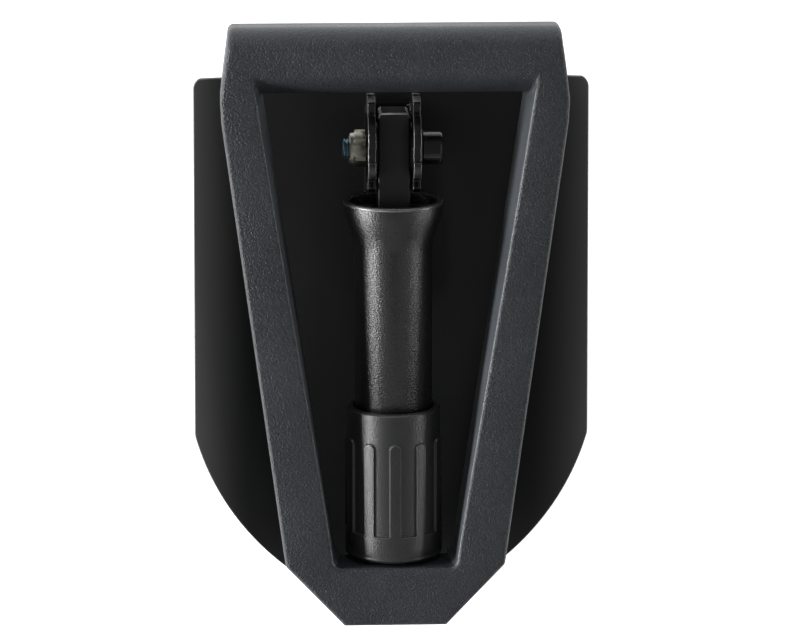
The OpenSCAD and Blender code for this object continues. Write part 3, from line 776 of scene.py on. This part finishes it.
def ear_outline():
    """Toothed edge from the front of the neck, over the top, to the back of the neck."""
    half = math.degrees(math.asin(NOTCH_W / 2 / EAR_R))
    pts = [(-NECK, -EAR_R * math.cos(math.asin(NECK / EAR_R)))]
    start = -180 + math.degrees(math.asin(NECK / EAR_R))

    def arc(r, a, b, n=8):
        for k in range(1, n):
            pts.append(polar(r, a + (b - a) * k / n))

    def notch(at, r):
        s, c = math.sin(math.radians(at)), math.cos(math.radians(at))
        rim = math.sqrt(r * r - (NOTCH_W / 2) ** 2)
        for px, py in ((-1, rim), (-1, NOTCH_FLOOR), (1, NOTCH_FLOOR), (1, rim)):
            px *= NOTCH_W / 2
            pts.append((px * c + py * s, -px * s + py * c))

    arc(EAR_R, start, -90 - half)
    notch(-90, EAR_R)
    arc(EAR_R, -90 + half, -45 - half)
    notch(-45, EAR_R)
    arc(EAR_R, -45 + half, -half)
    notch(0, EAR_R)
    arc(EAR_R, half, LAND_FROM - 4.6, 12)
    s, c = math.sin(math.radians(LAND_FROM - 2)), math.cos(math.radians(LAND_FROM - 2))
    for px, py in ((-0.8, EAR_R), (-0.8, EAR_R - 1.2), (0.8, EAR_R - 1.2)):
        pts.append((px * c + py * s, -px * s + py * c))
    arc(LAND_R, LAND_FROM, 90 - math.degrees(math.asin(NOTCH_W / 2 / LAND_R)), 8)
    notch(90, LAND_R)
    arc(LAND_R, 90 + math.degrees(math.asin(NOTCH_W / 2 / LAND_R)), 180 - LAND_FROM, 8)
    pts.append(polar(LAND_R, 180 - LAND_FROM))
    pts.append(polar(EAR_R, 180 - LAND_FROM))
    arc(EAR_R, 180 - LAND_FROM, -start, 6)
    pts.append((NECK, -EAR_R * math.cos(math.asin(NECK / EAR_R))))
    pts.append((NECK, NECK_LOW))
    pts.append((NECK + 4, BED + SHEET + 1))
    pts.append((-NECK - 4, BED + SHEET + 1))
    pts.append((-NECK, NECK_LOW))
    clean = []
    for p in pts:
        if not clean or math.hypot(p[0] - clean[-1][0], p[1] - clean[-1][1]) > 0.05:
            clean.append(p)
    return clean


def circle(r, n):
    return [(r * math.cos(2 * math.pi * k / n), r * math.sin(2 * math.pi * k / n))
            for k in range(n)]


ear = rounded(ear_outline(), 0.55, 3)
bracket_parts = []
for s in (-1, 1):
    def ear_place(u, v, w, s=s):
        return mm(s * w, u, v)
    part = slab("ear", ear, [circle(4.02, 40)], EAR_IN, EAR_OUT, 0.35, 0.45, ear_place,
                EARS, steps=3, bevel_holes=False)
    # The raised end is pale bare steel, partly where the lock has rubbed the coat off and partly a
    # painted
    #     highlight; the flat sides take a darker matte copy of the coat, painted shade, and the
    #     bevels a paler glossy copy, a painted highlight.
    for finish in (WORN_AND_HIGHLIT, PAINTED_SHADE_BLACK, PAINTED_EDGE_HIGHLIGHT):
        part.data.materials.append(finish)
    for f in part.data.polygons:
        y = (f.center.y - HINGE.y) * 1000
        z = (f.center.z - HINGE.z) * 1000
        if abs(f.normal.x) > 0.95:
            f.material_index = 2
        elif 0.35 < abs(f.normal.x) < 0.85 and z > -12:
            f.material_index = 3
        elif y > 0 and -6 < z < 8.8 and math.hypot(y, z) > LAND_R - 0.9:
            f.material_index = 1
    bracket_parts.append(part)


def base_place(u, v, w):
    rise = blade_z(abs(u), True) - (BED + SHEET)
    return mm(u, v, BED + SHEET + w + (rise if w < 1 else 0))


base = [(-EAR_OUT, BASE_FRONT), (EAR_OUT, BASE_FRONT), (EAR_OUT, -26), (TANG_HALF, -31),
        (TANG_HALF, BRACKET_LO[1]), (-TANG_HALF, BRACKET_LO[1]), (-TANG_HALF, -31),
        (-EAR_OUT, -26)]
base = rounded(base, [2, 2, 2, 2, 4, 4, 2, 2], 5)
# The base takes the darker matte copy of the coat, painted shade.
bracket_parts.append(slab("base", dense(base, 3), [], 0.05, BASE_T, 0, 0.6, base_place, PAINTED_SHADE_BLACK,
                          steps=3))
# A row of weld beads stands where each ear meets the base.
for s in (-1, 1):
    for k in range(9):
        r = 0.9 + 0.12 * math.sin(k * 2.1)
        bead = rounded([(0.01, -1.6), (r, -1.2), (r, 1.2), (0.01, 1.6)], 0.5, 3)
        at = (s * (EAR_IN - 0.25), -11.5 + k * 2.9, BED + SHEET + BASE_T)
        bracket_parts.append(lathe("bead", bead, EARS, 12, "y", at))
bracket = join("hinge_bracket_pressing", bracket_parts)
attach(bracket, "blade")
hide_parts("hinge_bracket")

# ---------------------------------------------------------------- rivets
SHANK_R, DOME_R = 2.5, 4.3
DOME_FOOT = BED + SHEET + BASE_T
for letter in "abcd":
    lo, hi = span("rivet_" + letter)
    cx, cy = (lo[0] + hi[0]) / 2, (lo[1] + hi[1]) / 2
    prof = [(0.01, lo[2] + 0.12), (2.3, lo[2] + 0.12), (SHANK_R, lo[2] + 0.4),
            (SHANK_R, DOME_FOOT - 0.4), (SHANK_R, DOME_FOOT), (DOME_R - 0.1, DOME_FOOT),
            (DOME_R, DOME_FOOT + 0.25)]
    for a in range(15, 90, 15):
        rise = (hi[2] - DOME_FOOT - 0.25) * math.sin(math.radians(a))
        prof.append((DOME_R * math.cos(math.radians(a)), DOME_FOOT + 0.25 + rise))
    prof.append((0.01, hi[2]))
    bm = bmesh.new()
    rings = [[bm.verts.new(mm(cx + u, cy + v, z)) for u, v in circle(r, 40)] for r, z in prof]
    for a, b in zip(rings, rings[1:]):
        for k in range(40):
            bm.faces.new((a[k], a[(k + 1) % 40], b[(k + 1) % 40], b[k]))
    bm.faces.new(rings[0])
    bm.faces.new(rings[-1])
    r = finish_mesh("rivet_domed_" + letter, bm, EARS, 40)
    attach(r, "blade")
    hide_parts("rivet_" + letter)

# ---------------------------------------------------------------- hinge bolt, washer, nut
HEAD_R = (BOLT_HI[2] - BOLT_LO[2]) / 2
HEAD_X0 = WASHER_HI[0]
HEAD_X1 = BOLT_HI[0]
NUT_FLATS = 13
THREAD_PITCH = 1.25


def hexagon(flats):
    """A lathe shape that cuts round rings down to a hexagon of that width across its flats."""
    def shape(a, r, p):
        k = math.radians(60)
        inside = (a + k / 2) % k - k / 2
        return min(r, flats / 2 / math.cos(inside))
    return shape


def knurl(a, r, p):
    """Fine grooves around the middle of the bolt's head."""
    if HEAD_X0 + 1.2 < p < HEAD_X1 - 1.2 and r > HEAD_R - 0.3:
        return r - 0.06 * (0.5 + 0.5 * math.cos(a * 48))
    return r


head = lathe("bolt_head", [(3.0, HEAD_X0), (HEAD_R - 0.5, HEAD_X0), (HEAD_R, HEAD_X0 + 0.5),
                           (HEAD_R, HEAD_X0 + 1.25), (HEAD_R, HEAD_X1 - 1.25),
                           (HEAD_R, HEAD_X1 - 0.9), (HEAD_R - 0.3, HEAD_X1 - 0.25),
                           (HEAD_R - 0.9, HEAD_X1), (3.9, HEAD_X1), (3.5, HEAD_X1 - 0.3)],
             HEADS, 192, "x", shape=knurl)
socket = lathe("bolt_socket", [(3.5, HEAD_X1 - 0.3), (3.45, HEAD_X1 - 0.6), (3.45, HEAD_X1 - 4),
                               (0.02, HEAD_X1 - 4.6), (0.02, HEAD_X1 - 5.2), (3.9, HEAD_X1 - 5),
                               (3.9, HEAD_X1 - 0.35)], HEADS, 96, "x", shape=hexagon(6.0))
thread = [(0.02, BOLT_LO[0]), (3.1, BOLT_LO[0]), (3.5, BOLT_LO[0] + 0.35)]
x = BOLT_LO[0] + 0.45
while x < NUT_LO[0] + 3:
    thread += [(3.98, x), (3.98, x + 0.14), (3.4, x + 0.55), (3.4, x + 0.66)]
    x += THREAD_PITCH
thread += [(3.98, x), (3.98, HEAD_X0 - 0.1), (0.02, HEAD_X0 - 0.1)]
shank = lathe("bolt_shank", thread, BLUED, 64, "x")
bolt = join("hinge_bolt_socket_head", [head, socket, shank])
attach(bolt, "blade")
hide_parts("hinge_bolt")

washer = lathe("hinge_washer", rounded([(4.1, WASHER_LO[0]), (7.95, WASHER_LO[0]),
                                        (7.95, WASHER_HI[0]), (4.1, WASHER_HI[0])], 0.25, 3),
               HEADS, 64, "x")
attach(washer, "blade")
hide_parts("bolt_washer")

NUT_R = NUT_FLATS / math.sqrt(3)
hex_end = NUT_HI[0] - 5.2
nut = lathe("lock_nut_body", [(4.3, NUT_HI[0]), (6.3, NUT_HI[0]), (NUT_R, NUT_HI[0] - 0.7),
                              (NUT_R, hex_end + 0.6), (6.4, hex_end), (6.25, hex_end - 0.3),
                              (6.15, NUT_LO[0] + 0.5), (5.7, NUT_LO[0] + 0.05),
                              (5.3, NUT_LO[0] + 0.2), (5.25, hex_end), (4.3, hex_end)],
            ZINC, 144, "x", shape=hexagon(NUT_FLATS))
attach(nut, "blade")
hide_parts("hinge_nut")
ring_lo, ring_hi = span("nut_ring")
insert_ring = lathe("lock_nut_plastic_ring", rounded([(4.05, ring_lo[0]), (5.2, ring_lo[0]),
                                                      (5.2, ring_hi[0]), (4.05, ring_hi[0])],
                                                     0.3, 3), NYLON, 64, "x")
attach(insert_ring, "blade")
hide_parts("nut_ring")

# ---------------------------------------------------------------- tongue
T_X, T_Z = 6.4, 8.0
T_Y = TONGUE_HI[1]
CORNER_CUT = 1.6


def tongue_place(u, v, w):
    return mm(w, u, v)


t_loop = rounded([(T_Y, T_Z), (T_Y, -T_Z), (-29.5, -T_Z), (-29.5, T_Z)],
                 [0.9, 0.9, 0.5, 0.5], 5)
t_loop = dense(t_loop, 1.2)
tongue_body = slab("tongue", t_loop, [circle(6.05, 48)], -T_X, T_X, 0.9, 0.9, tongue_place,
                   BLOCK, steps=5)
# The end of the block has its upright corners cut off, which shrinks its width towards the end.
for v in tongue_body.data.vertices:
    y = (v.co.y - HINGE.y) * 1000
    if y > T_Y - CORNER_CUT:
        limit = (T_X - (y - T_Y + CORNER_CUT)) / 1000
        v.co.x = max(-limit, min(limit, v.co.x))
# The end face takes the darker matte coat, painted shade, and the cut corners and edges beside it
# the pale worn coat, a painted highlight.
tongue_body.data.materials.append(PAINTED_SHADE_BLACK)
tongue_body.data.materials.append(WORN_AND_HIGHLIT)
for f in tongue_body.data.polygons:
    if f.normal.y > 0.9:
        f.material_index = 1
    elif f.center.y > HINGE.y + (T_Y - 1.8) / 1000 and f.normal.y > 0.2:
        f.material_index = 2
stub = lathe("tongue_root", rounded([(0.02, -35), (9, -35), (9, -28.5), (0.02, -28.5)], 0.4, 3),
             BLOCK, 64)
tongue = join("tongue_forging", [tongue_body, stub])
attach(tongue, "shaft")
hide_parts("tongue_block")

# ---------------------------------------------------------------- sleeve
TUBE_R = 15.3
FLARE_L = 19.0
MOUTH = LIP_HI[1]
MOUTH_R = LIP_HI[0]
TUBE_END = TUBE_LO[1]
BORE_R, SEAT_R, POCKET_R, MOUTH_BORE_R = 12.9, 14.4, 15.7, 16.9
POCKET_Y, MOUTH_BORE_Y = -31.1, -27.0


def flare(t):
    """Radius of the flare, from the tube at 0 to the mouth at 1."""
    return TUBE_R + (MOUTH_R - TUBE_R) * t * t * (3 - 2 * t)


def dull_inside(obj, radius):
    """Gives the faces within a radius of the sleeve's axis the coat of its bore."""
    obj.data.materials.append(BORE)
    for f in obj.data.polygons:
        if math.hypot(f.center.x, f.center.z - HINGE.z) < radius / 1000:
            f.material_index = 1


sleeve_profile = []
STEPS = 28
start = LIP_LO[1]
for k in range(STEPS + 1):
    t = k / STEPS
    sleeve_profile.append((flare(1 - t) - 0.1 * (1 - t), start - t * FLARE_L))
sleeve_profile += [(TUBE_R, TUBE_END + 0.4), (TUBE_R - 0.3, TUBE_END), (BORE_R, TUBE_END),
                   (BORE_R, INSERT_LO[1]), (SEAT_R, INSERT_LO[1]), (SEAT_R, POCKET_Y),
                   (POCKET_R, POCKET_Y), (POCKET_R, MOUTH_BORE_Y), (MOUTH_BORE_R, MOUTH_BORE_Y),
                   (MOUTH_BORE_R, start)]
sleeve = lathe("sleeve_flared_tube", sleeve_profile, TUBE, 128)
dull_inside(sleeve, 15.2)
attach(sleeve, "sleeve")
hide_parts("sleeve_tube")
lip = rounded([(16.95, start), (MOUTH_R - 0.1, start), (MOUTH_R, MOUTH - 0.6),
               (MOUTH_R - 0.5, MOUTH), (17.4, MOUTH), (16.95, MOUTH - 0.5)],
              [0, 0.2, 0.7, 0.7, 0.5, 0.5], 5)
lip_ring = lathe("sleeve_rolled_lip", lip, HIGHLIT_LIP, 128)
dull_inside(lip_ring, 17.6)
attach(lip_ring, "sleeve")
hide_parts("mouth_ring")

# ---------------------------------------------------------------- collar
C_TOP = COLLAR_HI[1]
C_END = COLLAR_LO[1]
R_PLAIN, R_END = 18.5, COLLAR_HI[0]
R_BORE = 16.45
R_MOUTH = TUBE_R + 0.45
RIB_TOP, RIB_END = -115.6, -153.3
RIBS = 11
RIB_HALF = 2.2
EDGE = 0.34


def rib_shape(a, r, y):
    """Raised ribs with round upper ends on a plain surface, and a lower band as high as they are."""
    if r < R_PLAIN - 0.05 or y < RIB_END - 1.5:
        return r
    pitch = 2 * math.pi / RIBS
    side = abs((a + pitch / 2) % pitch - pitch / 2) * r
    crown = RIB_TOP - RIB_HALF
    dist = math.hypot(side, y - crown) if y > crown else side
    rib = 1 - smooth((dist - RIB_HALF + EDGE / 2) / EDGE)
    band = 1 - smooth((y - RIB_END) / EDGE)
    return r + (R_END - R_PLAIN) * max(rib * 0.94, band)


# Rings along the grip, close together at both ends of the ribs.
rows = [C_TOP - 1.5]
for until, step in ((RIB_TOP + 1, 1.5), (RIB_TOP - RIB_HALF - 0.5, 0.22), (RIB_END + 1.5, 2.0),
                    (RIB_END - 0.7, 0.16)):
    while rows[-1] > until:
        rows.append(rows[-1] - step)
grip_profile = [(R_MOUTH, C_TOP - 0.5), (R_MOUTH + 0.35, C_TOP), (R_PLAIN - 1.3, C_TOP),
                (R_PLAIN - 0.6, C_TOP - 0.2), (R_PLAIN - 0.15, C_TOP - 0.7)]
grip_profile += [(R_PLAIN, y) for y in rows[1:]]
grip_profile += [(R_END, RIB_END - 1.6), (R_END, C_END + 0.3), (R_END - 0.1, C_END + 0.05),
                 (R_BORE, C_END), (R_BORE, C_TOP - 10.6), (R_MOUTH, C_TOP - 10.6)]
collar = lathe("collar_ribbed_grip", grip_profile, GRIP, 528, shape=rib_shape)
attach(collar, "collar")
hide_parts("collar_shell")
CAP_END = CAP_LO[1]
cap_profile = rounded([(9.1, CAP_HI[1]), (R_BORE - 0.1, CAP_HI[1]), (R_BORE - 0.1, C_END),
                       (R_END - 0.25, C_END),
                       (R_END - 0.05, C_END - 0.3), (R_END - 0.05, CAP_END + 1.0),
                       (R_END - 1.0, CAP_END), (10.2, CAP_END), (9.1, CAP_END + 1.0)],
                      [0.2, 0.2, 0, 0.1, 0.2, 0.6, 0.5, 0.4, 0.3], 4)
cap = lathe("collar_end_cap", cap_profile, GRIP, 128)
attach(cap, "collar")
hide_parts("collar_cap")

# ---------------------------------------------------------------- CAD nodes shown as they are
FINISHES = {
    "tongue_pin": STEEL, "shim_left": DARK, "shim_right": DARK, "shaft_rod": STEEL,
    "thrust_ring": STEEL, "thrust_clip": STEEL, "handle_eye": BLOCK, "eye_pin": STEEL,
    "hinge_bush": BRONZE, "lock_insert": DARK, "sleeve_bush": BRONZE, "thread_end": STEEL,
    "collar_insert": STEEL, "collar_seal": SEAL, "pivot_pin": STEEL, "pivot_clip": STEEL,
    "pivot_disc_left": BRONZE, "pivot_disc_right": BRONZE, "pivot_bush": BRONZE,
}
for node, finish in FINISHES.items():
    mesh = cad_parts[node].data
    mesh.materials.clear()
    mesh.materials.append(finish)

# ---------------------------------------------------------------- floor, light, camera


def plain(name, colour, rough, glow):
    """An even finish that also gives off a little light."""
    g = Graph(name)
    shade = g.noise(3.0, 2.0)
    low = tuple(c * 0.985 for c in colour)
    g.set("Base Color", g.mix(shade, low, colour))
    g.set("Roughness", rough)
    g.set("Emission Color", (1, 1, 1))
    g.set("Emission Strength", glow)
    return g.mat


FLOOR_HALF = 6.0
bm = bmesh.new()
corners = [bm.verts.new((x * FLOOR_HALF, y * FLOOR_HALF, -0.0002))
           for x, y in ((-1, -1), (1, -1), (1, 1), (-1, 1))]
bm.faces.new(corners)
floor = finish_mesh("studio_floor", bm, plain("floor_white", (0.85, 0.85, 0.85), 0.9, 0.85))


def area_light(name, at, target, size, power):
    data = bpy.data.lights.new(name, "AREA")
    data.shape = "RECTANGLE"
    data.size, data.size_y = size
    data.energy = power
    obj = bpy.data.objects.new(name, data)
    obj.location = at
    obj.rotation_mode = "QUATERNION"
    obj.rotation_quaternion = (Vector(target) - Vector(at)).to_track_quat("-Z", "Y")
    bpy.context.scene.collection.objects.link(obj)


# Two low softboxes beside the shovel make the long highlights of its tube.
area_light("left_softbox", (-1.30, -0.05, 0.38), (0, -0.05, 0.03), (1.9, 0.24), 57)
area_light("right_softbox", (1.30, -0.05, 0.36), (0, -0.05, 0.03), (1.9, 0.16), 10)
area_light("left_broad", (-0.85, -0.05, 1.15), (0, -0.05, 0.03), (1.9, 0.5), 1.5)
area_light("right_broad", (0.75, -0.05, 1.20), (0, -0.05, 0.03), (1.9, 0.5), 2.0)
area_light("far_softbox", (0.0, 1.35, 0.24), (0, 0.1, 0.03), (1.6, 0.12), 5)
area_light("front_fill", (-0.1, -1.2, 1.0), (0, 0, 0.03), (1.4, 0.6), 1.5)

world = bpy.data.worlds.new("studio")
bpy.context.scene.world = world
world.use_nodes = True
world.node_tree.nodes["Background"].inputs["Color"].default_value = (1, 1, 1, 1)
world.node_tree.nodes["Background"].inputs["Strength"].default_value = 0.20

# The camera stands over the hinge's end and a little to the left.
EYE = mm(-66, 287, 1565)
AIM = mm(2.6, -69.1, 0)
bpy.context.scene.view_settings.view_transform = "Standard"
cam_data = bpy.data.cameras.new("camera")
cam = bpy.data.objects.new("camera", cam_data)
bpy.context.scene.collection.objects.link(cam)
cam_data.sensor_width = 36
cam_data.lens = 182.7
cam_data.clip_start, cam_data.clip_end = 0.1, 20
cam.location = EYE
look = (AIM - EYE).normalized()
right = look.cross(Vector((0, 1, 0))).normalized()
upward = right.cross(look)
cam.rotation_mode = "QUATERNION"
cam.rotation_quaternion = Matrix((right, upward, -look)).transposed().to_quaternion()
bpy.context.scene.camera = cam
